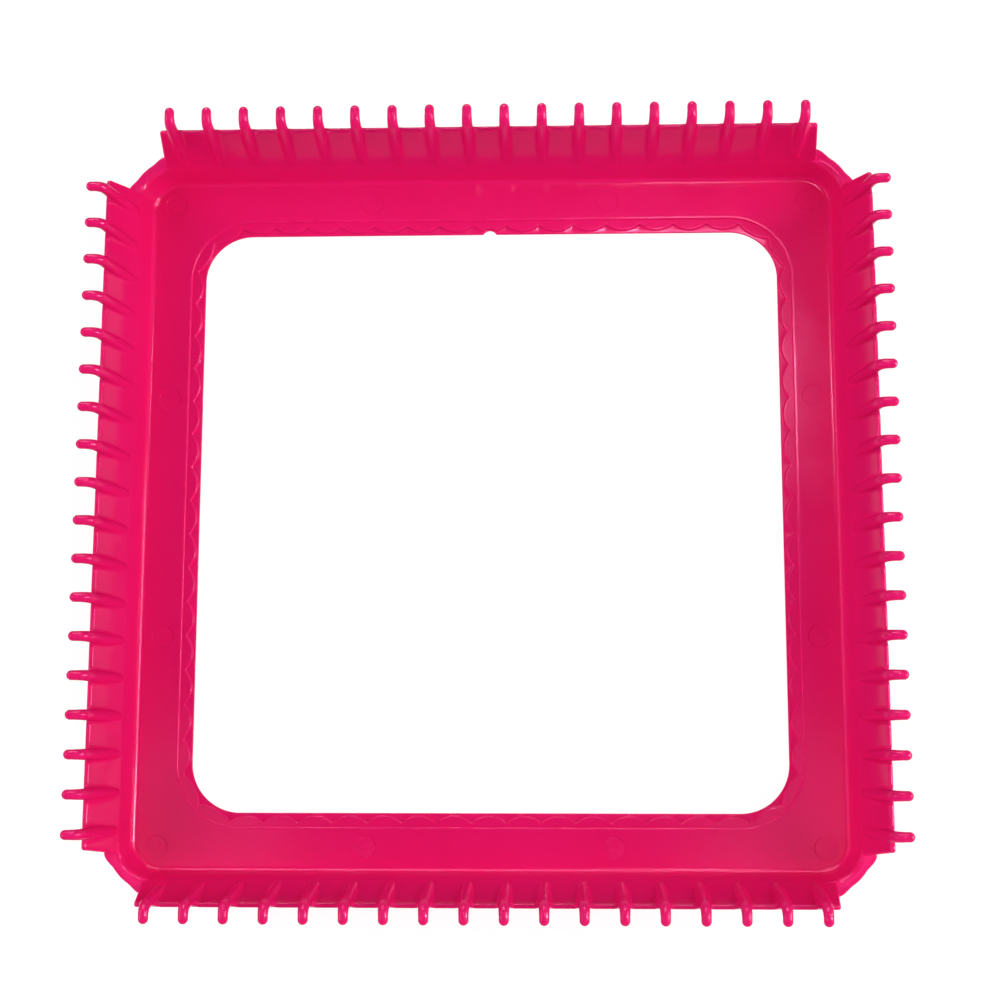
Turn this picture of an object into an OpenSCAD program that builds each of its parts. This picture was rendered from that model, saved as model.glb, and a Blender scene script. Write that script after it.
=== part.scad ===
// Square potholder loom for cotton loops, moulded in one pink plastic.
// The loom lies flat on its underside. Z points up, and the origin is the centre of the underside.
// Front is -Y, back is +Y, left is -X and right is +X.
// The real loom is one moulding. Each node below is one region of it, and the regions meet face to face.

/* [Pegs] */
// Number of pegs along each side
pegs_per_side = 18; // [8:2:24]
// Distance from one peg to the next
peg_pitch = 9; // [7:0.5:12]
// Diameter of a peg at its foot, where it is a rib on the wall
peg_foot_d = 3.0; // [2.4:0.1:4]
// Diameter of a peg at its hooked tip
peg_tip_d = 2.6; // [1.8:0.1:3]
// Height of the hook's centreline above the top of the wall
peg_rise = 6.1; // [4:0.1:8]
// Distance that the tip stands out past the wall's outer top edge
peg_reach = 2.9; // [2.6:0.1:5]
// Radius of the bend, along the peg's centreline
peg_bend_r = 2.2; // [1.4:0.1:2.5]
// Distance of a peg's centreline in front of the wall's inner face, at the top of the wall
peg_proud = 0.55; // [0.1:0.05:0.9]
// Distance of a peg's centreline behind the wall's inner face, at its foot
peg_sink = 1.25; // [0.1:0.05:1.35]
// Height of the centre of a peg's round foot above the tray rim
peg_foot_rise = 1.0; // [0.5:0.1:4]

/* [Walls] */
// Height of the peg walls above the table
wall_h = 22.9; // [18:0.1:32]
// Height of the tray rim, where the peg walls start to lean further out
rim_h = 9.4; // [6:0.1:14]
// Width of a wall at the tray rim
wall_t = 1.6; // [1.2:0.1:2.4]
// Width of a peg wall's top edge
wall_top_t = 1.3; // [0.8:0.1:2]
// Lean of the tray wall, in degrees
tray_lean = 12; // [4:1:20]
// Lean of the peg wall's inner face, in degrees
wall_lean = 16; // [6:1:24]
// Distance from the last peg to the peg wall's end, at its top
wall_end_top = 3.8; // [2.6:0.1:5]
// Distance from the last peg to the peg wall's end, at the tray rim
wall_end_foot = 5.4; // [5:0.1:7]
// Radius of the peg walls' upper corners
wall_end_round = 0.9; // [0.4:0.1:1.2]

/* [Tray] */
// Thickness of the tray floor
floor_t = 1.8; // [1.4:0.1:3]
// Width of the flat floor, from the foot of the wall to the scalloped border
floor_w = 10.4; // [6:0.1:16]
// Distance from the last peg to the start of the rounded corner
corner_start = 2.7; // [1:0.1:4.5]
// Corner radius of the fold between floor and wall
fold_r = 7.2; // [4:0.1:10]
// Radius of the fillet in the fold
fold_fillet = 1.2; // [0.5:0.1:2]
// Radius of the underside's outer edge
foot_round = 1.0; // [0.4:0.1:1.5]
// Distance that the corner lip stands out past the tray wall
lip_reach = 1.2; // [0.4:0.1:2]
// Thickness of the corner lip
lip_t = 1.7; // [1:0.1:3]
// Diameter of the round ejector marks in the floor
ejector_d = 5.5; // [3:0.1:7]
// Depth of the ejector marks
ejector_depth = 0.15; // [0.05:0.05:0.3]
// Distance of the side ejector marks from the middle of a side
ejector_place = 30; // [10:1:50]

/* [Border] */
// Width of the scalloped border, from its step to the opening
border_w = 3.3; // [3:0.1:6]
// Corner radius of the opening
opening_r = 12; // [8:0.5:20]
// Thickness of the border's scalloped band
band_t = 1.3; // [1:0.05:1.35]
// Thickness of the ledge beside the opening
ledge_t = 0.8; // [0.5:0.05:0.95]
// Number of scallops along each side, from diagonal to diagonal
scallops_per_side = 17; // [13:2:25]
// Distance from the border's step to the points between the scallops
scallop_inset = 1.0; // [0.6:0.1:1.5]
// Depth of the scallops
scallop_depth = 1.7; // [1:0.1:2.1]
// How far the band's strip runs past the points between the scallops, which blunts them
scallop_land = 0.15; // [0.1:0.05:0.4]
// Width of the gate notch in the back edge of the opening
notch_w = 3.3; // [2:0.1:5]
// Depth of the gate notch
notch_depth = 1.0; // [0.4:0.1:1.2]

/* [Hidden] */

$fn = 96;
pink = "#DC1C60";

// Sides are numbered by quarter turns
front = 0;
right = 1;
back = 2;
left = 3;

// Places across the section, as distances out from the centre
last_peg = (pegs_per_side - 1) / 2 * peg_pitch;
corner_centre = last_peg + corner_start;
fold_out = corner_centre + fold_r;
fillet_run = fold_fillet * tan((90 - tray_lean) / 2);
foot_out = fold_out - fillet_run;
rim_in = fold_out + (rim_h - floor_t) * tan(tray_lean);
rim_out = rim_in + wall_t;
top_in = rim_in + (wall_h - rim_h) * tan(wall_lean);
top_out = top_in + wall_top_t;
lip_out = rim_out + lip_reach;

// The round upper corner of a peg wall: the slant of the wall's end and the centre of the corner's arc
end_slant = atan((wall_end_foot - wall_end_top) / (wall_h - rim_h));
end_round_out = last_peg + wall_end_top - wall_end_round * (1 - sin(end_slant)) / cos(end_slant);
end_round_z = wall_h - wall_end_round;
end_round_steps = 12;

// Places of the border
step_out = fold_out - floor_w;
opening_out = step_out - border_w;
opening_centre = opening_out - opening_r;
cusp_out = step_out - scallop_inset;
cusp_r = cusp_out - opening_centre;
half_arc = PI / 4 * cusp_r;
cusp_run = 2 * opening_centre + 2 * half_arc;

// The tray wall's round outer foot: the circle's centre, tangent to the underside and to the outer face
round_out = rim_out - (rim_h - foot_round) * tan(tray_lean) - foot_round / cos(tray_lean);

// The peg's centreline: a straight stem from its foot, a bend and a short level hook
foot_r = peg_foot_d / 2;
tip_r = peg_tip_d / 2;
stem_foot_z = rim_h + peg_foot_rise;
stem_foot_out = rim_in + peg_foot_rise * tan(wall_lean) + peg_sink;
stem_top_out = top_in - peg_proud;
stem_lean = atan((stem_top_out - stem_foot_out) / (wall_h - stem_foot_z));
hook_z = wall_h + peg_rise;
tip_out = top_out + peg_reach;
bend_z = hook_z - peg_bend_r * (1 - sin(stem_lean));
bend_out = stem_top_out + (bend_z - wall_h) * tan(stem_lean);
hook_out = bend_out + peg_bend_r * cos(stem_lean);
stem_length = (bend_z - stem_foot_z) / cos(stem_lean);
hook_length = tip_out - tip_r - hook_out;

// The bend is this much thicker, in radius, than the stem and the hook, which run this far into it
bend_swell = 0.03;
bend_overlap = 0.2;

// Cutters reach this far past what they cut
spare = 5;
far = 2 * (tip_out + spare);

// Turns a piece drawn with X outwards, Y along the side and Z up to face its side
module on_side(side) rotate([0, 0, 90 * (side - 1)]) children();

// Stands a section up: its X stays outwards and its Y becomes height
module upright() rotate([90, 0, 0]) children();

// A square outline with round corners, given by half its width
module round_square(half, r) {
    straight = half - r;
    square([2 * half, 2 * straight], center = true);
    square([2 * straight, 2 * half], center = true);
    for (x = [-straight, straight], y = [-straight, straight])
        translate([x, y]) circle(r);
}

// The quarter of the plan that belongs to one side, cut along the diagonals
module side_wedge() polygon([[0, 0], [far, -far], [far, far]]);

// Round marks that the ejector pins leave in the floor, on the sides and in the corners
module ejector_marks() {
    mark_out = (step_out + foot_out) / 2;
    for (y = [-mark_out, -ejector_place, ejector_place, mark_out])
        translate([mark_out, y, floor_t - ejector_depth])
            cylinder(d = ejector_d, h = ejector_depth + spare);
}

// The flat floor of the tray on one side, mitred at the corners
module floor_side(side) {
    color(pink) on_side(side) difference() {
        linear_extrude(floor_t) intersection() {
            difference() {
                round_square(foot_out, foot_out - corner_centre);
                round_square(step_out, step_out - opening_centre);
            }
            side_wedge();
        }
        ejector_marks();
    }
}

// A point on the line through the points between scallops, at a run from the first diagonal
function cusp_point(run) =
    run < half_arc
        ? opening_centre * [1, -1] + cusp_r * [cos(run / cusp_r * 180 / PI - 45), sin(run / cusp_r * 180 / PI - 45)]
    : run <= cusp_run - half_arc
        ? [cusp_out, run - half_arc - opening_centre]
    : [cusp_point(cusp_run - run).x, -cusp_point(cusp_run - run).y];

// One scallop: a segment of a disc that bulges towards the opening, by the scallop's depth from its middle
module scallop(start, middle, end) {
    chord = end - start;
    half_chord = norm(chord) / 2;
    depth = scallop_depth - norm(middle - (start + end) / 2);
    disc_r = (half_chord * half_chord + depth * depth) / (2 * depth);
    translate((start + end) / 2) rotate(atan2(chord.y, chord.x) - 90) intersection() {
        translate([disc_r - depth, 0]) circle(disc_r);
        translate([-depth, -half_chord]) square([depth + border_w, 2 * half_chord]);
    }
}

// The border's band in plan: a strip beside the step, with scallops along its inner edge
module scalloped_band() {
    intersection() {
        round_square(step_out, step_out - opening_centre);
        side_wedge();
        union() {
            difference() {
                round_square(step_out, step_out - opening_centre);
                round_square(cusp_out - scallop_land, cusp_r - scallop_land);
            }
            for (i = [0 : scallops_per_side - 1])
                scallop(
                    cusp_point(cusp_run * i / scallops_per_side),
                    cusp_point(cusp_run * (i + 0.5) / scallops_per_side),
                    cusp_point(cusp_run * (i + 1) / scallops_per_side)
                );
        }
    }
}

// The thin ledge beside the opening in plan
module ledge() {
    intersection() {
        difference() {
            round_square(step_out, step_out - opening_centre);
            round_square(opening_out, opening_r);
        }
        side_wedge();
    }
}

// The notch that the gate leaves in the opening's edge
module gate_notch() {
    notch_r = (notch_w * notch_w / 4 + notch_depth * notch_depth) / (2 * notch_depth);
    translate([opening_out + notch_depth - notch_r, 0, -spare]) cylinder(r = notch_r, h = floor_t + 2 * spare);
}

// The scalloped border on one side, a step below the floor
module scallop_border(side) {
    color(pink) on_side(side) difference() {
        union() {
            linear_extrude(ledge_t) ledge();
            translate([0, 0, ledge_t]) linear_extrude(band_t - ledge_t) scalloped_band();
        }
        if (side == back) gate_notch();
    }
}

// Section of the tray wall, with its fillet and round foot; shift moves it in for the corners
module tray_wall_section(shift) {
    translate([-shift, 0]) {
        polygon([
            [foot_out, 0],
            [round_out, 0],
            [round_out + foot_round * cos(tray_lean), foot_round * (1 - sin(tray_lean))],
            [rim_out, rim_h],
            [rim_in, rim_h],
            [fold_out, floor_t],
            [foot_out, floor_t]
        ]);
        translate([round_out, foot_round]) circle(foot_round);
        difference() {
            polygon([
                [foot_out, floor_t],
                [fold_out, floor_t],
                [fold_out + fillet_run * sin(tray_lean), floor_t + fillet_run * cos(tray_lean)]
            ]);
            translate([foot_out, floor_t + fold_fillet]) circle(fold_fillet);
        }
    }
}

// A point on the round upper corner of a peg wall, at an angle from level
function end_round_point(angle) =
    [end_round_out + wall_end_round * cos(angle), end_round_z + wall_end_round * sin(angle)];

// The points of that round corner, from the slanted end to the top edge
end_round = [for (i = [0 : end_round_steps]) end_round_point(end_slant + (90 - end_slant) * i / end_round_steps)];

// Half the outline of a peg wall seen from inside the tray, mirrored by the sign
function end_outline(sign) = [for (point = end_round) [sign * point.x, point.y]];

// One straight side: the tray wall and the leaning peg wall above it, with slanted ends and round upper corners
module peg_wall(side) {
    wall_end = last_peg + wall_end_foot;
    color(pink) on_side(side) {
        upright() translate([0, 0, -corner_centre]) linear_extrude(2 * corner_centre) tray_wall_section(0);
        intersection() {
            upright() translate([0, 0, -wall_end]) linear_extrude(2 * wall_end)
                polygon([[rim_in, rim_h], [rim_out, rim_h], [top_out, wall_h], [top_in, wall_h]]);
            rotate([90, 0, 90]) linear_extrude(far) polygon(concat(
                [[-wall_end, rim_h], [wall_end, rim_h]],
                end_outline(1),
                [for (i = [end_round_steps : -1 : 0]) end_outline(-1)[i]]
            ));
        }
    }
}

// The low rounded corner between two peg walls, with its outward lip
module corner_wall(side) {
    lip_end = lip_out - lip_t / 2;
    color(pink) on_side(side) translate([corner_centre, corner_centre, 0]) rotate_extrude(angle = 90) {
        tray_wall_section(corner_centre);
        translate([-corner_centre, 0]) {
            polygon([
                [rim_in, rim_h],
                [rim_in + wall_t / 2, rim_h - lip_t],
                [lip_end, rim_h - lip_t],
                [lip_end, rim_h]
            ]);
            translate([lip_end, rim_h - lip_t / 2]) circle(lip_t / 2);
        }
    }
}

// Half of the section of a tapered rod with a round end, to be turned about Y; the round end is at the origin
module rod_profile(round_r, far_r, length) {
    polygon([[0, 0], [round_r, 0], [far_r, length], [0, length]]);
    intersection() {
        circle(round_r);
        translate([0, -round_r]) square(round_r);
    }
}

// The space of the wall behind its inner face and under its top edge
module behind_wall_face() {
    translate([0, 0, -peg_foot_d]) linear_extrude(2 * peg_foot_d) polygon([
        [fold_out, floor_t],
        [rim_in, rim_h],
        [top_in, wall_h],
        [far, wall_h],
        [far, floor_t]
    ]);
}

// One peg, drawn with X outwards and Y up: a tapered stem, a bend and a round-ended hook
module peg() {
    difference() {
        union() {
            translate([stem_foot_out, stem_foot_z, 0]) rotate([0, 0, -stem_lean]) rotate([-90, 0, 0])
                rotate_extrude() rod_profile(foot_r, tip_r, stem_length + bend_overlap);
            translate([hook_out, hook_z - peg_bend_r, 0]) rotate([0, 0, 90])
                rotate_extrude(angle = 90 - stem_lean) translate([peg_bend_r, 0]) circle(tip_r + bend_swell);
            translate([tip_out - tip_r, hook_z, 0]) rotate([0, -90, 0])
                rotate_extrude() rod_profile(tip_r, tip_r, hook_length + bend_overlap);
        }
        behind_wall_face();
    }
}

// The row of pegs along one side, each a separate solid seated on the wall
module pegs(side) {
    color(pink) on_side(side)
        for (i = [0 : pegs_per_side - 1])
            translate([0, i * peg_pitch - last_peg, 0]) upright() peg();
}

floor_side(front);  // floor_front
floor_side(right);  // floor_right
floor_side(back);  // floor_back
floor_side(left);  // floor_left
scallop_border(front);  // scallop_border_front
scallop_border(right);  // scallop_border_right
scallop_border(back);  // scallop_border_back
scallop_border(left);  // scallop_border_left
peg_wall(front);  // peg_wall_front
peg_wall(right);  // peg_wall_right
peg_wall(back);  // peg_wall_back
peg_wall(left);  // peg_wall_left
corner_wall(front);  // corner_wall_front_right
corner_wall(right);  // corner_wall_back_right
corner_wall(back);  // corner_wall_back_left
corner_wall(left);  // corner_wall_front_left
pegs(front);  // pegs_front
pegs(right);  // pegs_right
pegs(back);  // pegs_back
pegs(left);  // pegs_left
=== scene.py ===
# Square potholder loom, moulded in one glossy pink plastic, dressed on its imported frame.
# Sizes are in millimetres until a mesh is filled. The loom lies flat, Z is up and the front is -Y.
import math

import bpy
import numpy as np
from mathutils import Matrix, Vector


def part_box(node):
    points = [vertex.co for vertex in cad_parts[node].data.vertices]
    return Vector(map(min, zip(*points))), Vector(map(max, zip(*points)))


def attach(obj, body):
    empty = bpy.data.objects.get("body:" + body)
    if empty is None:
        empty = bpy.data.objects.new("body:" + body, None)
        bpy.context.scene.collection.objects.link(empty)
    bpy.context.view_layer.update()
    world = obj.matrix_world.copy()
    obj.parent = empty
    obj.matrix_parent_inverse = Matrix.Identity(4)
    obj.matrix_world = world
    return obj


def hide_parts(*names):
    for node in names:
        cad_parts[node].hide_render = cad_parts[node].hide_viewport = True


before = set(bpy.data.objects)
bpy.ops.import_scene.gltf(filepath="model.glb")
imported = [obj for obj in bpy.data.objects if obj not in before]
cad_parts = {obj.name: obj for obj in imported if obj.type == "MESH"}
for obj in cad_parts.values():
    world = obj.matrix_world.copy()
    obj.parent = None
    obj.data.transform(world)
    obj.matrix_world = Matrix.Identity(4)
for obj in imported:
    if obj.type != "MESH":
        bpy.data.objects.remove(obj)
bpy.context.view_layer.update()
mm = 0.001
sharpAngle = math.radians(38)  # edges that turn more than this aren't smoothed
hairline = 0.02  # radius of an edge that is hidden in a neighbour, and the least reach of a rounded corner
print("frame loaded")


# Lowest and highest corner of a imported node, in millimetres
def nodeCorners(node):
    low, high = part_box(node)
    return np.array(low) / mm, np.array(high) / mm


borderHigh = nodeCorners("scallop_border_right")[1]
floorHigh = nodeCorners("floor_right")[1]
wallHigh = nodeCorners("peg_wall_right")[1]
cornerLow, cornerHigh = nodeCorners("corner_wall_back_right")
pegsHigh = nodeCorners("pegs_right")[1]

# Places read from the frame: heights, and distances out from the centre
place = {
    "stepOut": borderHigh[0],  # where the floor steps down to the border
    "bandTop": borderHigh[2],
    "floorTop": floorHigh[2],
    "footOut": floorHigh[0],  # where the floor starts to curve up into the wall
    "cornerCentre": cornerLow[0],
    "rimTop": cornerHigh[2],
    "lipOut": cornerHigh[0],
    "wallTop": wallHigh[2],
    "topOut": wallHigh[0],
    "wallEnd": wallHigh[1],
    "tipOut": pegsHigh[0],
    "pegsTop": pegsHigh[2],
}

# The tray: floor, wall up to the rim, and the lip round the corners
tray = {
    "lean": 12.0,  # lean of the tray wall, degrees
    "wallWidth": 1.6,
    "foldFillet": 1.2,  # radius between floor and wall
    "floorEdge": 0.3,  # radius of the floor's edge above the border
    "footRound": 1.0,  # radius of the outer foot
    "rimEdge": 1.4,  # inner radius of the free rim in a corner
    "rimStart": 12.0,  # degrees round the corner where that radius starts to grow
    "rimFull": 25.0,
    "lipEdge": 0.05,  # radius of the lip's lower edges where the lip starts
    "lipDrop": 0.3,  # how far below the lip its root lies where the lip starts
    "lipThick": 1.7,
    "lipRound": 0.75,
    "lipFillet": 0.5,  # radius between the lip's underside and the wall
    "lipStart": 2.0,  # degrees round the corner where the lip starts
    "lipFull": 13.0,  # degrees round the corner where it has its full reach
    "flare": 1.0,  # how much further it reaches beside a peg wall's end
    "flareStart": 14.0,  # degrees round the corner where the flare starts to shrink
    "flareEnd": 34.0,
    "cornerStep": 1.5,  # degrees from one column to the next
    "sideStep": 4.5,
}

# The border: a scalloped band above a thin ledge, beside the opening
border = {
    "width": 3.3,
    "openingRound": 12.0,  # corner radius of the opening
    "ledgeTop": 0.6,
    "scallops": 17,  # along each side, from diagonal to diagonal
    "inset": 1.0,  # from the floor's step to the points between scallops
    "depth": 1.7,
    "land": 0.15,  # how far the band runs past those points
    "edge": 0.3,  # radius of the band's upper edge
    "fillet": 0.2,  # radius at its foot
    "openingEdge": 0.22,  # radii of the opening's upper and lower edges
    "lowerEdge": 0.2,
    "chamfer": 0.1,  # height of the slope under the floor
    "notchWidth": 3.3,  # gate notch at the middle of the back
    "notchDepth": 1.0,
    "columns": 24,  # to each scallop
    "tuck": 0.4,  # how far the band runs under the floor's step
}

# The four peg walls
wall = {
    "lean": 16.0,  # lean of the inner face, degrees
    "topWidth": 1.3,
    "topRound": 0.58,
    "topShare": 0.45,  # the most of the wall's thickness that this radius may take
    "endSlope": 1.6,  # how much shorter each end is at the top
    "endRound": 0.5,
    "endCorner": 0.7,  # radius of the end's upper corner, seen from inside
    "ribFillet": 1.1,  # radius where a peg runs out of the wall's face
    "flareWidth": 1.1,  # width and height of the curve between a peg and the top edge
    "flareHeight": 1.3,
    "flareShare": 0.97,  # share of that curve before the peg hides it
    "flareThin": 0.8,  # how much thinner the wall is at its upper end
    "knee": 0.8,  # where that thinning starts, below the wall's top
    "kneeGap": 0.15,  # least distance of that start below the top's rounding
    "ribTuck": 0.03,  # how far the fillet's edge lies inside the peg
    "ribStart": 0.4,  # height over which the fillet grows above the rim
    "filletColumns": 7,
    "besideFillet": (0.1, 0.25, 0.5),  # columns just outside the fillet
    "insidePeg": (0.5, 0.8),  # columns inside the peg, as shares of its half width
    "endColumns": (0, 0.03, 0.08, 0.15, 0.24, 0.35, 0.5, 0.7),  # distances from the wall's end
    "levels": (0, 0.1, 0.25, 0.4, 0.6, 0.8, 1.0, 1.3, 1.8, 2.6, 4, 6, 8, 10, 11.6, 12.5),  # rows up the face
    "faceHeight": 12.95,  # the row at the upper end of the face
    "outerRows": 5,
    "tuck": 0.3,
}

# The pegs, 18 to a side
peg = {
    "count": 18,
    "footRadius": 1.5,
    "tipRadius": 1.3,
    "endRadius": 1.16,
    "cornerGap": 2.7,  # from the last peg to the start of the corner
    "footRise": 1.0,  # height of the round foot's centre above the rim
    "sink": 1.25,  # depth of that centre behind the wall's face
    "proud": 0.55,  # distance of the stem in front of the face, at the top of the wall
    "backDepth": 0.9,  # how deep its back may lie behind the wall's face
    "bendRadius": 2.2,
    "bendSwell": 0.03,
    "around": 24,
    "domeRings": 7,
    "poleGap": 4,  # degrees from a dome's pole to its first ring
    "stemRings": 9,
    "bendRings": 11,
    "wear": 0.6,  # how worn the hooks look at their top
}

leanTan = math.tan(math.radians(tray["lean"]))
filletRun = tray["foldFillet"] * math.tan(math.radians(90 - tray["lean"]) / 2)
foldOut = place["footOut"] + filletRun
rimIn = foldOut + (place["rimTop"] - place["floorTop"]) * leanTan
rimOut = rimIn + tray["wallWidth"]
topIn = place["topOut"] - wall["topWidth"]
openingOut = place["stepOut"] - border["width"]
openingCentre = openingOut - border["openingRound"]
lastPeg = place["cornerCentre"] - peg["cornerGap"]
pegPitch = 2 * lastPeg / (peg["count"] - 1)


# Smooth step: 3t^2 - 2t^3, with t running from 0 at low to 1 at high
def smoothStep(low, high, value):
    t = np.clip((value - low) / (high - low), 0, 1)
    return t * t * (3 - 2 * t)


# Rounds the corners of a closed section. points is corner by column by (out, height).
# A corner with radius r and half angle a starts r / tan(a) before the corner and ends as far after it.
# Between them runs a rational quadratic curve with middle weight sin(a), which is an exact arc.
# support adds a row that far before and after the arc, so that the flats stay flat in shading.
def roundSection(points, radii, steps, support):
    before = np.roll(points, 1, 0) - points
    after = np.roll(points, -1, 0) - points
    before = before / np.linalg.norm(before, axis=-1, keepdims=True)
    after = after / np.linalg.norm(after, axis=-1, keepdims=True)
    halfAngle = 0.5 * np.arccos(np.clip((before * after).sum(-1), -1, 1))
    weight = np.sin(halfAngle)[..., None]
    reach = np.maximum(radii / np.tan(halfAngle), hairline)[..., None]
    rows, owner, onArc = [], [], []
    for k in range(len(points)):
        corner = points[k]
        start = corner + before[k] * reach[k]
        end = corner + after[k] * reach[k]
        if support[k][0] > 0:
            rows.append(start + before[k] * support[k][0])
            owner.append(k)
            onArc.append(0.0)
        for t in np.linspace(0, 1, steps[k] + 1):
            blend = (1 - t) ** 2 * start + 2 * t * (1 - t) * weight[k] * corner + t**2 * end
            rows.append(blend / ((1 - t) ** 2 + 2 * t * (1 - t) * weight[k] + t**2))
            owner.append(k)
            onArc.append(1.0)
        if support[k][1] > 0:
            rows.append(end + after[k] * support[k][1])
            owner.append(k)
            onArc.append(0.0)
    return np.array(rows), np.array(owner), np.array(onArc)


# Plan of a section point: the corner centre, plus its reach turned by the corner angle.
# along runs from -1 to 1 between the two corner centres of a side.
def planPoint(out, centre, along, turn):
    reach = out - centre
    return centre + reach * np.cos(turn), centre * along + reach * np.sin(turn)


# Turns local places (out, along the side) to a side: 0 right, 1 back, 2 left, 3 front
def turnToSide(out, side, quarter):
    return [(out, side), (-side, out), (-out, -side), (side, -out)][quarter]


# Four-sided faces between neighbouring rows and columns of a grid
def gridFaces(rows, columns, wrapRows, wrapColumns):
    row = np.arange(rows if wrapRows else rows - 1)[:, None]
    column = np.arange(columns if wrapColumns else columns - 1)[None, :]
    nextRow = (row + 1) % rows
    nextColumn = (column + 1) % columns
    corners = [
        row * columns + column,
        row * columns + nextColumn,
        nextRow * columns + nextColumn,
        nextRow * columns + column,
    ]
    return np.stack(np.broadcast_arrays(*corners), -1).reshape(-1, 4)


# Volume inside the four-sided faces: a sixth of the sum of a . (b x c) over their triangles
def signedVolume(points, faces):
    a, b, c, d = (points[faces[:, k]] for k in range(4))
    return (np.einsum("ij,ij->i", a, np.cross(b, c)) + np.einsum("ij,ij->i", a, np.cross(c, d))).sum() / 6


# Makes a smooth mesh object from points in millimetres, with its faces pointing outwards
def makePiece(name, points, faces, caps, edge, material, nodes):
    faces = np.asarray(faces)
    if signedVolume(points, faces) < 0:
        faces = faces[:, ::-1]
        caps = [cap[::-1] for cap in caps]
    mesh = bpy.data.meshes.new(name)
    mesh.from_pydata((points * mm).tolist(), [], faces.tolist() + caps)
    mesh.update()
    mesh.shade_smooth()
    mesh.set_sharp_from_angle(angle=sharpAngle)
    worn = mesh.attributes.new("edge", "FLOAT", "POINT")
    worn.data.foreach_set("value", np.asarray(edge, np.float32).ravel())
    mesh.materials.append(material)
    obj = bpy.data.objects.new(name, mesh)
    bpy.context.scene.collection.objects.link(obj)
    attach(obj, "root")
    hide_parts(*nodes)
    print("made", name, len(mesh.vertices), "points", len(mesh.polygons), "faces")
    return obj


# One node, linked by the sockets named in links as {input: output socket}
def addNode(tree, kind, settings=None, links=None):
    node = tree.nodes.new(kind)
    for key, value in (settings or {}).items():
        if isinstance(key, int) or key in node.inputs:
            node.inputs[key].default_value = value
        else:
            setattr(node, key, value)
    for key, socket in (links or {}).items():
        tree.links.new(socket, node.inputs[key])
    return node


# The finish of the moulded plastic
plastic = {
    "pink": (0.755, 0.0078, 0.135, 1),
    "deepPink": (0.725, 0.0064, 0.12, 1),
    "wornPink": (0.82, 0.02, 0.19, 1),
    "driftRange": (0.75, 1.25),  # sum of cloud and streak that goes from deep pink to pink
    "wearRange": (0.42, 0.7),  # scuff at which an edge starts to look worn, and is fully worn
    "wearColour": 0.45,
    "wearRoughness": 0.12,
    "ior": 1.49,
    "specular": 0.09,
    "specularTint": (1.0, 0.4, 0.68, 1),
    "hazeRange": (0.3, 0.7),
    "smoothness": 0.11,
    "dullness": 0.17,
}

# The noises in it: scale, detail and roughness of each
noises = {
    "cloud": (16, 3.0, 0.5),  # slow drift of the colour, in clouds of about 60 mm
    "streak": (45, 3.0, 0.55),  # flow lines of the melt
    "scuff": (420, 5.0, 0.65),
    "haze": (130, 6.0, 0.6),
    "wave": (22, 1.0, 0.4),
    "grain": (1500, 2.0, 0.5),
}

# Strength and depth in metres of the bump from each noise, deepest first
bumps = {"wave": (1.0, 0.0002), "scuff": (0.25, 0.00001), "grain": (0.3, 0.000004)}


# One noise of the plastic, on Object coordinates
def addNoise(tree, coords, name):
    scale, detail, roughness = noises[name]
    settings = {"Scale": scale, "Detail": detail, "Roughness": roughness}
    return addNode(tree, "ShaderNodeTexNoise", settings, {"Vector": coords}).outputs["Fac"]


# A value stretched from one range to another
def addRange(tree, value, source, target=(0.0, 1.0)):
    settings = {"From Min": source[0], "From Max": source[1], "To Min": target[0], "To Max": target[1]}
    return addNode(tree, "ShaderNodeMapRange", settings, {"Value": value}).outputs["Result"]


def addMath(tree, operation, links, settings=None):
    node = addNode(tree, "ShaderNodeMath", {"operation": operation, **(settings or {})}, links)
    return node.outputs[0]


# Mixes two colours, each a fixed colour or a socket
def addColourMix(tree, factor, first, second):
    node = addNode(tree, "ShaderNodeMix", {"data_type": "RGBA"}, {"Factor": factor})
    for socket, colour in ((6, first), (7, second)):
        if isinstance(colour, tuple):
            node.inputs[socket].default_value = colour
        else:
            tree.links.new(colour, node.inputs[socket])
    return node.outputs[2]


# Pink plastic: slow colour drift and flow streaks, lighter worn edges, hazy gloss, and three depths of bump
def pinkPlastic():
    material = bpy.data.materials.new("glossyPinkPlastic")
    material.use_nodes = True
    tree = material.node_tree
    shader = tree.nodes["Principled BSDF"]
    coords = addNode(tree, "ShaderNodeTexCoord").outputs["Object"]
    fields = {name: addNoise(tree, coords, name) for name in noises}
    drift = addMath(tree, "ADD", {0: fields["cloud"], 1: fields["streak"]})
    drift = addRange(tree, drift, plastic["driftRange"])
    body = addColourMix(tree, drift, plastic["deepPink"], plastic["pink"])
    edge = addNode(tree, "ShaderNodeAttribute", {"attribute_name": "edge"}).outputs["Fac"]
    scuffed = addRange(tree, fields["scuff"], plastic["wearRange"])
    wear = addMath(tree, "MULTIPLY", {0: edge, 1: scuffed})
    paler = addMath(tree, "MULTIPLY", {0: wear}, {1: plastic["wearColour"]})
    tree.links.new(addColourMix(tree, paler, body, plastic["wornPink"]), shader.inputs["Base Color"])

    haze = addRange(tree, fields["haze"], plastic["hazeRange"], (plastic["smoothness"], plastic["dullness"]))
    rough = addMath(tree, "MULTIPLY_ADD", {0: wear, 2: haze}, {1: plastic["wearRoughness"]})
    tree.links.new(rough, shader.inputs["Roughness"])

    normal = None
    for name, (strength, depth) in bumps.items():
        links = {"Height": fields[name]}
        if normal is not None:
            links["Normal"] = normal
        bump = addNode(tree, "ShaderNodeBump", {"Strength": strength, "Distance": depth}, links)
        normal = bump.outputs["Normal"]
    tree.links.new(normal, shader.inputs["Normal"])
    shader.inputs["IOR"].default_value = plastic["ior"]
    shader.inputs["Specular IOR Level"].default_value = plastic["specular"]
    shader.inputs["Specular Tint"].default_value = plastic["specularTint"]
    return material


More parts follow.
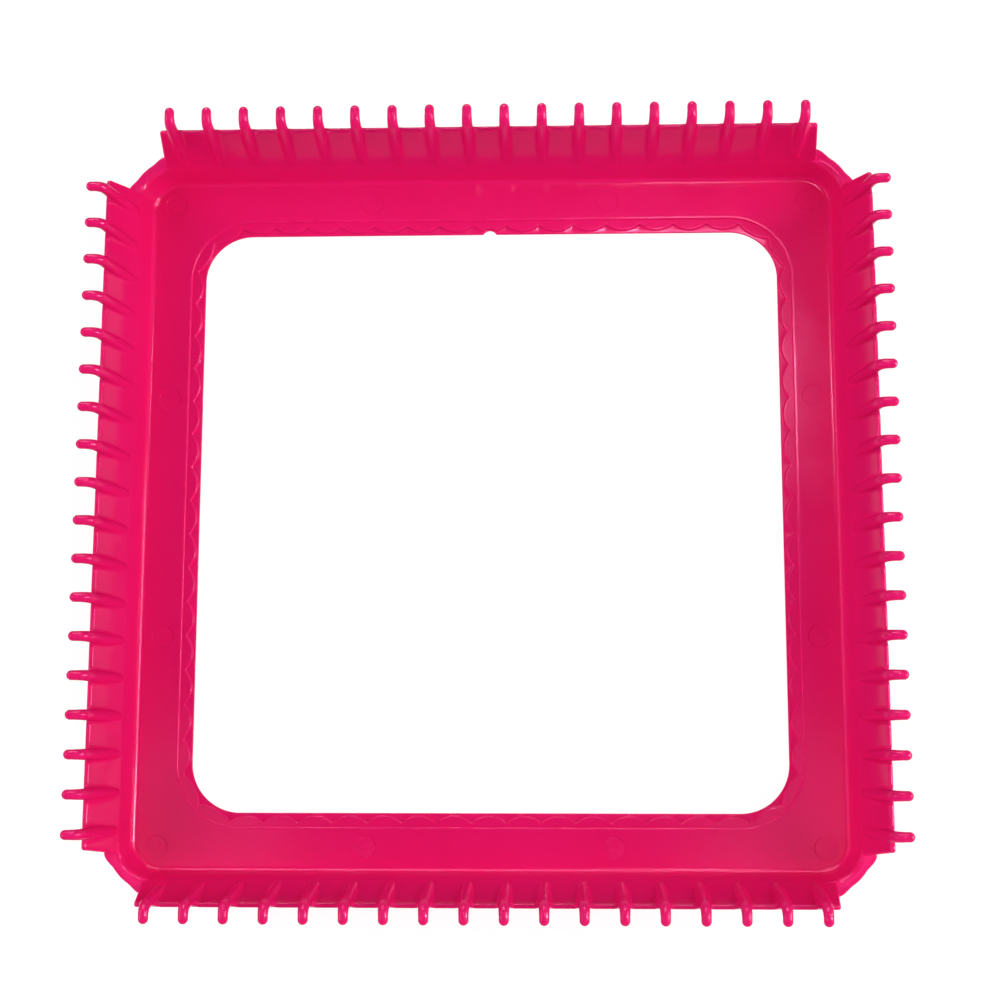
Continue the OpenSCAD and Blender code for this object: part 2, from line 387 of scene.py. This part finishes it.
# Columns of the tray for one side: from one diagonal round the corner, along the side, to the other diagonal
def trayColumns():
    corner = np.radians(np.arange(-45, 0, tray["cornerStep"]))
    count = int(round(2 * place["cornerCentre"] / tray["sideStep"]))
    side = np.linspace(-1, 1, count + 1)
    along = np.concatenate([-np.ones_like(corner), side, np.ones_like(corner[1:])])
    turn = np.concatenate([corner, np.zeros_like(side), -corner[:0:-1]])
    return along, turn


# Round marks that the ejector pins leave in the floor
mark = {
    "width": 5.5,
    "depth": 0.15,
    "slope": 0.12,  # how far the mark's edge slopes in
    "along": 30.0,  # from the middle of a side to its two marks
    "around": 72,
    "above": 1.0,  # how far the cutter stands above the floor
}


# Cuts the marks out of the tray: each cutter is a stack of circles, r by height, that widens upwards
def cutMarks(obj):
    out = (place["stepOut"] + place["footOut"]) / 2
    floorTop, slope, depth = place["floorTop"], mark["slope"], mark["depth"]
    spread = mark["above"] / depth * slope
    radius = mark["width"] / 2 + np.array([-slope, spread])[:, None, None]
    height = floorTop + np.array([-depth, mark["above"]])[:, None, None]
    spots = [turnToSide(out, side, q) for q in range(4) for side in (-mark["along"], mark["along"], out)]
    spots = np.array(spots)[None, :, None, :]
    angle = np.linspace(0, 2 * math.pi, mark["around"], endpoint=False)[None, None, :]
    x = spots[..., 0] + radius * np.cos(angle)
    y = spots[..., 1] + radius * np.sin(angle)
    points = np.stack([x, y, np.broadcast_to(height, x.shape)], -1).transpose(1, 0, 2, 3).reshape(-1, 3)
    ring = gridFaces(2, mark["around"], False, True)
    faces = []
    for k in range(x.shape[1]):
        start = k * 2 * mark["around"]
        faces += (ring + start).tolist()
        faces.append(list(range(start + mark["around"] - 1, start - 1, -1)))
        faces.append(list(range(start + mark["around"], start + 2 * mark["around"])))
    mesh = bpy.data.meshes.new("markCutter")
    mesh.from_pydata((points * mm).tolist(), [], faces)
    cutter = bpy.data.objects.new("markCutter", mesh)
    bpy.context.scene.collection.objects.link(cutter)
    cut = obj.modifiers.new("marks", "BOOLEAN")
    cut.operation = "DIFFERENCE"
    cut.object = cutter
    bpy.context.view_layer.update()
    finished = bpy.data.meshes.new_from_object(obj.evaluated_get(bpy.context.evaluated_depsgraph_get()))
    obj.modifiers.remove(cut)
    obj.data = finished
    finished.set_sharp_from_angle(angle=sharpAngle)
    bpy.data.objects.remove(cutter)
    bpy.data.meshes.remove(mesh)
    print("cut the ejector marks:", len(finished.polygons), "faces")


# The tray: one closed section of eight corners carried round the loom.
# The lip grows with the corner angle, and the rim's edges open from a sharp seat to a round rim.
def makeTray(material):
    along, turn = trayColumns()
    count = len(along)
    degrees = np.degrees(np.abs(turn))
    lip = smoothStep(tray["lipStart"], tray["lipFull"], degrees)
    flare = tray["flare"] * (1 - smoothStep(tray["flareStart"], tray["flareEnd"], degrees))
    lipOut = place["lipOut"] + flare
    lipTop = rimOut + lip * (lipOut - rimOut)
    underZ = place["rimTop"] - tray["lipThick"]
    underOut = rimOut - tray["lipThick"] * leanTan
    rootZ = underZ - tray["lipDrop"] * (1 - lip)
    rootOut = rimOut - (place["rimTop"] - rootZ) * leanTan
    one = np.ones(count)
    points = np.array([
        [place["stepOut"] * one, 0 * one],
        [place["stepOut"] * one, place["floorTop"] * one],
        [foldOut * one, place["floorTop"] * one],
        [rimIn * one, place["rimTop"] * one],
        [lipTop, place["rimTop"] * one],
        [underOut + lip * (lipOut - underOut), underZ * one],
        [rootOut, rootZ],
        [(rimOut - place["rimTop"] * leanTan) * one, 0 * one],
    ]).transpose(0, 2, 1)
    free = smoothStep(tray["rimStart"], tray["rimFull"], degrees)
    radii = np.array([
        hairline * one,
        tray["floorEdge"] * one,
        tray["foldFillet"] * one,
        hairline + free * (tray["rimEdge"] - hairline),
        hairline + lip * (tray["lipRound"] - hairline),
        tray["lipEdge"] + lip * (tray["lipRound"] - tray["lipEdge"]),
        tray["lipEdge"] + lip * (tray["lipFillet"] - tray["lipEdge"]),
        tray["footRound"] * one,
    ])
    steps = [1, 6, 10, 9, 7, 7, 5, 8]
    support = [(0, 0), (0.2, 0.5), (0.5, 0.4), (0.4, 0), (0, 0), (0, 0), (0, 0.3), (0.4, 0.5)]
    section, owner, onArc = roundSection(points, radii, steps, support)
    centre = np.where(owner < 2, openingCentre, place["cornerCentre"])[:, None]
    out, side = planPoint(section[..., 0], centre, along[None, :], turn[None, :])
    edge = onArc[:, None] * np.isin(owner, [1, 3, 4, 5])[:, None] * np.ones(count)[None, :]
    parts = [np.stack([*turnToSide(out, side, q), section[..., 1]], -1)[:, :-1] for q in range(4)]
    grid = np.concatenate(parts, 1)
    edges = np.concatenate([edge[:, :-1]] * 4, 1)
    faces = gridFaces(grid.shape[0], grid.shape[1], True, True)
    nodes = ["floor_" + s for s in ("front", "right", "back", "left")]
    nodes += ["corner_wall_" + s for s in ("front_left", "front_right", "back_right", "back_left")]
    obj = makePiece("tray", grid.reshape(-1, 3), faces, [], edges, material, nodes)
    cutMarks(obj)
    return obj


# The border: a closed section carried round the opening.
# Its band edge lies a circular segment's height inside the line through the scallop points.
def makeBorder(material):
    cuspRadius = place["stepOut"] - border["inset"] - openingCentre
    halfArc = math.pi / 4 * cuspRadius
    total = 2 * openingCentre + 2 * halfArc
    run = np.linspace(0, total, border["scallops"] * border["columns"] + 1)
    straight = np.clip(run - halfArc, 0, 2 * openingCentre)
    along = straight / openingCentre - 1
    turn = (run - halfArc - straight) / cuspRadius
    length = total / border["scallops"]
    offset = (run / length) % 1 - 0.5
    offset[[0, -1]] = 0.5
    offset = np.abs(offset) * length
    discRadius = (length**2 / 4 + border["depth"] ** 2) / (2 * border["depth"])
    height = np.sqrt(discRadius**2 - offset**2) - (discRadius - border["depth"])
    bandEdge = place["stepOut"] - border["inset"] - np.maximum(height, border["land"])
    notchRadius = (border["notchWidth"] ** 2 / 4 + border["notchDepth"] ** 2) / (2 * border["notchDepth"])
    notchCentre = openingOut + border["notchDepth"] - notchRadius
    fromMiddle = along * openingCentre
    notchOut = notchCentre + np.sqrt(np.maximum(notchRadius**2 - fromMiddle**2, 0))
    grids, edges = [], []
    for q in range(4):
        opening = np.maximum(openingOut, notchOut) if q == 1 else openingOut + 0 * along
        one = np.ones(len(run))
        band = np.maximum(bandEdge, opening + border["fillet"] + border["edge"])
        points = np.array([
            [opening, 0 * one],
            [opening, border["ledgeTop"] * one],
            [band, border["ledgeTop"] * one],
            [band, place["bandTop"] * one],
            [(place["stepOut"] + border["tuck"]) * one, place["bandTop"] * one],
            [(place["stepOut"] + border["tuck"]) * one, border["chamfer"] * one],
            [place["stepOut"] * one, 0 * one],
        ]).transpose(0, 2, 1)
        rounds = [border[key] for key in ("lowerEdge", "openingEdge", "fillet", "edge")] + [hairline] * 3
        radii = np.array(rounds)[:, None] * one
        steps = [3, 4, 4, 5, 1, 1, 1]
        support = [(0.3, 0), (0, 0), (0, 0), (0, 0.1), (0, 0), (0, 0), (0, 0)]
        section, owner, onArc = roundSection(points, radii, steps, support)
        out, side = planPoint(section[..., 0], openingCentre, along[None, :], turn[None, :])
        grids.append(np.stack([*turnToSide(out, side, q), section[..., 1]], -1)[:, :-1])
        edges.append((onArc[:, None] * np.isin(owner, [1, 3])[:, None] * one[None, :])[:, :-1])
    grid = np.concatenate(grids, 1)
    faces = gridFaces(grid.shape[0], grid.shape[1], True, True)
    nodes = ["scallop_border_" + s for s in ("front", "right", "back", "left")]
    edge = np.concatenate(edges, 1)
    return makePiece("scallopBorder", grid.reshape(-1, 3), faces, [], edge, material, nodes)


# The peg's centreline at a height: distance out, radius, and distance in front of the wall's face
def stemAt(z):
    footZ = place["rimTop"] + peg["footRise"]
    wallTan = math.tan(math.radians(wall["lean"]))
    footOut = rimIn + peg["footRise"] * wallTan + peg["sink"]
    topStem = topIn - peg["proud"]
    lean = (topStem - footOut) / (place["wallTop"] - footZ)
    out = footOut + (z - footZ) * lean
    share = np.clip((z - footZ) / (bendStart()[1] - footZ), 0, 1)
    radius = peg["footRadius"] + share * (peg["tipRadius"] - peg["footRadius"])
    face = rimIn + (z - place["rimTop"]) * wallTan
    return out, radius, face - out


# Where the stem ends and the bend begins: (out, height), and the bend's centre
def bendStart():
    footZ = place["rimTop"] + peg["footRise"]
    footOut = rimIn + peg["footRise"] * math.tan(math.radians(wall["lean"])) + peg["sink"]
    topStem = topIn - peg["proud"]
    lean = math.atan((topStem - footOut) / (place["wallTop"] - footZ))
    hookZ = place["pegsTop"] - peg["tipRadius"] - peg["bendSwell"]
    z = hookZ - peg["bendRadius"] * (1 - math.sin(lean))
    out = topStem + (z - place["wallTop"]) * math.tan(lean)
    return out, z, lean, out + peg["bendRadius"] * math.cos(lean), hookZ


# Height of the fillet on the wall's face beside a peg of radius r whose axis is p in front of the face.
# Its circle, radius f, touches the face at x = sqrt((r+f)^2 - (f-p)^2) from the peg's axis,
# and the peg at x r/(r+f).
# At a distance d between them the face stands f - sqrt(f^2 - (x-d)^2) higher.
def ribFillet(distance, radius, proud):
    f = wall["ribFillet"]
    far = np.sqrt((radius + f) ** 2 - (f - proud) ** 2)
    near = far * radius / (radius + f)
    inside = far - np.clip(distance, near, far)
    return f - np.sqrt(np.maximum(f**2 - inside**2, 0))


# One peg wall: the closed section of a leaning slab, with columns that follow each peg's fillet.
# Its ends slope, and their edges and upper corners are quarter circles.
def makePegWall(quarter, sideName, material):
    rimTop, wallTop = place["rimTop"], place["wallTop"]
    f = wall["ribFillet"]
    phase = np.linspace(0, 1, wall["filletColumns"])
    centres = np.arange(peg["count"]) * pegPitch - lastPeg
    # Each column: peg centre, side of the peg, fillet phase, share of the way to the fillet, extra distance
    half = [(1, 1.0, k, 0) for k in wall["insidePeg"]]
    half += [(1, 1 - p, 1.0, 0) for p in phase]
    half += [(1, 0.0, 1.0, e) for e in wall["besideFillet"]]
    onePeg = [(-s, p, k, e) for s, p, k, e in reversed(half)] + [(0, 1.0, 0, 0)] + half
    columns = []
    for i, c in enumerate(centres):
        columns += [(c, s, p, k, e) for s, p, k, e in onePeg]
        if i < peg["count"] - 1:
            columns += [(c + pegPitch / 2, 0, 0.0, 0, 0)]
    base, sign, fillet, share, extra = np.array(columns).T
    endInset = np.array(wall["endColumns"])
    # Section corners for every column, with the ends' inset and lowered top
    inset = np.concatenate([endInset, np.full(len(base), pegPitch), endInset[::-1]])
    narrow = wall["endRound"] - np.sqrt(
        np.maximum(wall["endRound"] ** 2 - np.maximum(wall["endRound"] - inset, 0) ** 2, 0)
    )
    drop = wall["endCorner"] - np.sqrt(
        np.maximum(wall["endCorner"] ** 2 - np.maximum(wall["endCorner"] - inset, 0) ** 2, 0)
    )
    _, topRadius, topProud = stemAt(wallTop)
    topFar = math.sqrt((topRadius + f) ** 2 - (f - topProud) ** 2)
    topTouch = math.atan2(topFar, f - topProud)
    fromPeg = np.full(len(inset), pegPitch)
    middle = slice(len(endInset), len(inset) - len(endInset))
    topReach = (topFar - f * np.sin(topTouch * fillet)) * share + extra
    fromPeg[middle] = np.where(share > 0, topReach, pegPitch / 2)
    fromPeg[middle][sign == 0] = np.where(share[sign == 0] > 0, 0, pegPitch / 2)
    curve = np.clip((topRadius + wall["flareWidth"] - fromPeg) / wall["flareWidth"], 0, wall["flareShare"])
    rise = wall["flareHeight"] * (1 - np.sqrt(1 - curve**2))
    thin = wall["flareThin"] * rise / rise.max()
    top = wallTop - drop + rise
    inTan = (topIn - rimIn) / (wallTop - rimTop)
    outTan = (place["topOut"] - rimOut) / (wallTop - rimTop)
    one = np.ones(len(inset))
    corners = np.array([
        [rimIn + narrow, rimTop * one],
        [rimIn + (top - rimTop) * inTan + narrow, top],
        [rimOut + (top - rimTop) * outTan - narrow - thin, top],
        [rimOut - narrow, rimTop * one],
    ]).transpose(0, 2, 1)
    thick = corners[2, :, 0] - corners[1, :, 0]
    rounding = np.minimum(wall["topRound"], wall["topShare"] * thick)
    radii = np.stack([0 * one, rounding, rounding, 0 * one])
    section, owner, _ = roundSection(corners, radii, [1, 6, 6, 1], [(0, 0)] * 4)
    arcIn = section[owner == 1]
    arcOut = section[owner == 2]
    levels = np.array(wall["levels"]) / wall["faceHeight"]
    faceIn = corners[0][None] + levels[:, None, None] * (arcIn[0] - corners[0])[None]
    # The outer face stays flat up to a knee, and only the wall above it thins beside a peg
    kneeZ = np.minimum(wallTop - wall["knee"], arcOut[-1, :, 1] - wall["kneeGap"])
    knee = np.stack([rimOut + (kneeZ - rimTop) * outTan - narrow, kneeZ], -1)
    faceOut = knee[None] + np.linspace(0, 1, wall["outerRows"])[:, None, None] * (corners[3] - knee)[None]
    tuckIn = corners[0] + np.array([wall["tuck"], -wall["tuck"]])
    tuckOut = corners[3] + np.array([-wall["tuck"], -wall["tuck"]])
    rows = np.concatenate([tuckIn[None], faceIn, arcIn, arcOut, faceOut, tuckOut[None]])
    innerRows = 1 + len(faceIn) + len(arcIn)
    z = rows[..., 1]
    endHalf = place["wallEnd"] - (z - rimTop) / (wallTop - rimTop) * wall["endSlope"]
    # Columns beside a peg follow the fillet's edge, which moves with the peg's radius and stand-off
    level = np.clip(z, rimTop + peg["footRise"], wallTop)
    _, radius, proud = stemAt(level)
    radius = radius - wall["ribTuck"]
    far = np.sqrt((radius + f) ** 2 - (f - proud) ** 2)
    touch = np.arctan2(far, f - proud)
    farM, touchM = far[:, middle], touch[:, middle]
    reach = (farM - f * np.sin(touchM * fillet)) * share + extra
    side = np.zeros_like(z)
    side[:, middle] = base + sign * reach
    side[:, : len(endInset)] = -(endHalf[:, : len(endInset)] - endInset)
    side[:, -len(endInset) :] = endHalf[:, -len(endInset) :] - endInset[::-1]
    nearest = centres[np.abs(side[..., None] - centres).argmin(-1)]
    below = np.maximum(rimTop + peg["footRise"] - z, 0) / math.cos(math.radians(wall["lean"]))
    distance = np.hypot(side - nearest, below)
    raised = ribFillet(distance, radius, proud) * smoothStep(rimTop, rimTop + wall["ribStart"], z)
    raised[innerRows:] = 0
    raised[0] = 0
    out = rows[..., 0] - raised
    x, y = turnToSide(out, side, quarter)
    grid = np.stack([x, y, z], -1)
    edge = np.zeros_like(z)
    edge[innerRows - len(arcIn) : innerRows + len(arcOut)] = 1
    edge[:, inset < wall["endRound"]] = 1
    rowCount, columnCount = z.shape
    faces = gridFaces(rowCount, columnCount, True, False)
    first = [r * columnCount for r in range(rowCount)]
    last = [r * columnCount + columnCount - 1 for r in range(rowCount)]
    return makePiece(
        "pegWall" + sideName.capitalize(),
        grid.reshape(-1, 3),
        faces,
        [first, last[::-1]],
        edge,
        material,
        ["peg_wall_" + sideName],
    )


# Rings of one peg along its centreline: (out, height, lean of the tangent from upright, radius).
# A round foot, a straight tapered stem, a circular bend, a short level hook and a round tip.
def pegRings():
    bendOut, bendZ, lean, hookOut, hookZ = bendStart()
    footZ = place["rimTop"] + peg["footRise"]
    footOut = stemAt(footZ)[0]
    small, big, turn, end = peg["tipRadius"], peg["footRadius"], peg["bendRadius"], peg["endRadius"]
    dome = np.radians(np.linspace(peg["poleGap"], 90, peg["domeRings"]))
    depth = big * np.cos(dome)
    footLean = np.full_like(dome, lean)
    foot = [footOut - depth * math.sin(lean), footZ - depth * math.cos(lean), footLean, big * np.sin(dome)]
    t = np.linspace(0, 1, peg["stemRings"] + 1)[1:]
    stemOut = footOut + t * (bendOut - footOut)
    stem = [stemOut, footZ + t * (bendZ - footZ), np.full_like(t, lean), big + t * (small - big)]
    a = np.linspace(lean, math.pi / 2, peg["bendRings"] + 1)[1:]
    taper = (end - small) / (math.pi / 2 - lean)
    bend = [hookOut - turn * np.cos(a), hookZ - turn * (1 - np.sin(a)), a, small + taper * (a - lean)]
    back = dome[::-1]
    tipOut = place["tipOut"] - end + end * np.cos(back)
    tip = [tipOut, np.full_like(back, hookZ), np.full_like(back, math.pi / 2), end * np.sin(back)]
    return np.concatenate([foot, stem, bend, tip], 1).T


# A row of pegs: each ring is a circle square to the centreline, centre + r (cos a N + sin a B),
# where N leans with the tangent and B runs along the side
def makePegs(quarter, sideName, material):
    rings = pegRings()
    out, z, lean, radius = (rings[:, k, None] for k in range(4))
    angle = np.linspace(0, 2 * math.pi, peg["around"], endpoint=False)[None, :]
    ringOut = out + radius * np.cos(angle) * np.cos(lean)
    ringZ = z - radius * np.cos(angle) * np.sin(lean)
    ringSide = radius * np.sin(angle)
    # Below the wall's top edge the back of the peg stays inside the wall
    wallFace = rimIn + (ringZ - place["rimTop"]) * math.tan(math.radians(wall["lean"]))
    inWall = np.minimum(ringOut, wallFace + peg["backDepth"])
    ringOut = np.where(ringZ < place["wallTop"], inWall, ringOut)
    centres = np.arange(peg["count"]) * pegPitch - lastPeg
    side = centres[:, None, None] + ringSide[None]
    x, y = turnToSide(np.broadcast_to(ringOut, side.shape), side, quarter)
    points = np.stack([x, y, np.broadcast_to(ringZ, side.shape)], -1).reshape(-1, 3)
    rows, columns = ringOut.shape
    one = gridFaces(rows, columns, False, True)
    faces = np.concatenate([one + k * rows * columns for k in range(peg["count"])])
    footCap = list(range(columns))[::-1]
    tipCap = [(rows - 1) * columns + k for k in range(columns)]
    caps = [[v + k * rows * columns for v in cap] for k in range(peg["count"]) for cap in (footCap, tipCap)]
    crown = smoothStep(place["wallTop"], place["pegsTop"], points[:, 2]) * peg["wear"]
    name = "pegs" + sideName.capitalize()
    return makePiece(name, points, faces, caps, crown, material, ["pegs_" + sideName])


pinkMaterial = pinkPlastic()
makeTray(pinkMaterial)
makeBorder(pinkMaterial)
for quarter, sideName in enumerate(("right", "back", "left", "front")):
    makePegWall(quarter, sideName, pinkMaterial)
    makePegs(quarter, sideName, pinkMaterial)
print("loom made")

# The camera, with its fitted place in millimetres, and its turn in degrees
camera = {
    "place": (16.11, -55.58, 397.09),
    "turn": (8.549, 1.942, 0.046),
    "lens": 57.93,
    "sensor": 36,
    "nearest": 0.01,
}


def makeCamera():
    data = bpy.data.cameras.new("photoCamera")
    data.lens = camera["lens"]
    data.sensor_width = camera["sensor"]
    data.clip_start = camera["nearest"]
    obj = bpy.data.objects.new("photoCamera", data)
    obj.location = [v * mm for v in camera["place"]]
    obj.rotation_euler = [math.radians(v) for v in camera["turn"]]
    bpy.context.scene.collection.objects.link(obj)
    bpy.context.scene.camera = obj


# Softboxes, each turned towards the origin: place in metres, size, power in watts, and whether gloss or only
# light comes from them
lamps = {
    "keyBox": {"place": (0.82, 0.2, 0.52), "size": (0.6, 0.6), "power": 6.5, "gloss": False},
    "leftBox": {"place": (-0.82, 0.1, 0.52), "size": (0.7, 0.7), "power": 5.5, "gloss": False},
    "frontBox": {"place": (0.25, -0.85, 0.48), "size": (0.7, 0.7), "power": 4.6, "gloss": False},
    "tipLight": {"place": (0.122, 0.22, 0.87), "size": (0.09, 0.09), "power": 4.2, "diffuse": False},
    "foldLight": {"place": (0.62, -0.115, 0.34), "size": (0.5, 0.055), "power": 18.0, "diffuse": False},
    "foldGlow": {"place": (0.62, 0.04, 0.34), "size": (0.5, 0.18), "power": 11.0, "diffuse": False},
    "backStrip": {"place": (-0.07, 0.6, 0.42), "size": (0.4, 0.6), "power": 20.0, "diffuse": False},
    "leftStrip": {"place": (-0.62, 0.0, 0.36), "size": (0.3, 0.5), "power": 6.0, "diffuse": False},
    "cornerGlowLeft": {"place": (-0.26, -0.13, 0.8), "size": (0.15, 0.15), "power": 0.38, "diffuse": False},
    "cornerGlowRight": {"place": (0.2, -0.13, 0.8), "size": (0.15, 0.15), "power": 0.38, "diffuse": False},
}


def makeLamp(name, shape):
    data = bpy.data.lights.new(name, "AREA")
    data.shape = "RECTANGLE"
    data.size, data.size_y = shape["size"]
    data.energy = shape["power"]
    obj = bpy.data.objects.new(name, data)
    bpy.context.scene.collection.objects.link(obj)
    x, y, z = shape["place"]
    obj.location = (x, y, z)
    obj.rotation_euler = (0, math.atan2(math.hypot(x, y), z), math.atan2(y, x))
    obj.visible_glossy = shape.get("gloss", True)
    obj.visible_diffuse = shape.get("diffuse", True)


# Adds up the ray kinds that see the white studio: camera, glossy and transmission rays
def studioRays(tree):
    path = addNode(tree, "ShaderNodeLightPath").outputs
    seen = addMath(tree, "ADD", {0: path["Is Camera Ray"], 1: path["Is Glossy Ray"]})
    return addMath(tree, "ADD", {0: seen, 1: path["Is Transmission Ray"]}, {"use_clamp": True})


studio = {
    "ambientHigh": 0.37,  # strength of the even light from overhead
    "ambientLow": 0.26,  # and from the horizon
    "overhead": 0.3,  # how bright the ceiling looks in gloss; the horizon is 1
    "horizon": (0.12, 0.5),  # heights between which the horizon darkens to the ceiling
    "floorGlow": 0.84,
    "floorGrey": (0.24, 0.24, 0.24, 1),
    "floorBounce": (0.32, 0.32, 0.32, 1),
    "floorSize": 6.0,
    "floorDrop": 0.0001,  # how far the floor lies below the loom
}


# The room: an even light, and for seen and mirrored rays a white horizon that darkens towards the ceiling
def makeWorld():
    world = bpy.data.worlds.new("studioRoom")
    bpy.context.scene.world = world
    world.use_nodes = True
    tree = world.node_tree
    tree.nodes.clear()
    direction = addNode(tree, "ShaderNodeTexCoord").outputs["Generated"]
    height = addNode(tree, "ShaderNodeSeparateXYZ", None, {0: direction}).outputs["Z"]
    ceiling = addRange(tree, height, studio["horizon"], (1.0, studio["overhead"]))
    seen = addNode(tree, "ShaderNodeLightPath").outputs["Is Camera Ray"]
    white = addMath(tree, "MAXIMUM", {0: ceiling, 1: seen})
    even = addRange(tree, height, (0.0, 1.0), (studio["ambientLow"], studio["ambientHigh"]))
    ambient = addNode(tree, "ShaderNodeBackground", {"Color": (1, 1, 1, 1)}, {"Strength": even}).outputs[0]
    room = addNode(tree, "ShaderNodeBackground", {"Color": (1, 1, 1, 1)}, {"Strength": white}).outputs[0]
    mix = addNode(tree, "ShaderNodeMixShader", None, {0: studioRays(tree), 1: ambient, 2: room}).outputs[0]
    output = addNode(tree, "ShaderNodeOutputWorld", None, {"Surface": mix})
    output.is_active_output = True


# A white sweep that still takes the loom's soft shadow
def makeFloor():
    material = bpy.data.materials.new("paleFloor")
    material.use_nodes = True
    tree = material.node_tree
    tree.nodes.clear()
    bounce = addNode(tree, "ShaderNodeBsdfDiffuse", {"Color": studio["floorBounce"]}).outputs[0]
    shade = addNode(tree, "ShaderNodeBsdfDiffuse", {"Color": studio["floorGrey"]}).outputs[0]
    white = {"Color": (1, 1, 1, 1), "Strength": studio["floorGlow"]}
    glow = addNode(tree, "ShaderNodeEmission", white).outputs[0]
    seen = addNode(tree, "ShaderNodeAddShader", None, {0: shade, 1: glow}).outputs[0]
    mix = addNode(tree, "ShaderNodeMixShader", None, {0: studioRays(tree), 1: bounce, 2: seen}).outputs[0]
    addNode(tree, "ShaderNodeOutputMaterial", None, {"Surface": mix})
    half, z = studio["floorSize"] / 2, -studio["floorDrop"]
    mesh = bpy.data.meshes.new("floor")
    corners = [(-half, -half, z), (half, -half, z), (half, half, z), (-half, half, z)]
    mesh.from_pydata(corners, [], [(0, 1, 2, 3)])
    mesh.materials.append(material)
    obj = bpy.data.objects.new("floor", mesh)
    bpy.context.scene.collection.objects.link(obj)


makeCamera()
for name, shape in lamps.items():
    makeLamp(name, shape)
makeWorld()
makeFloor()
bpy.context.scene.view_settings.view_transform = "Standard"
print("studio made")
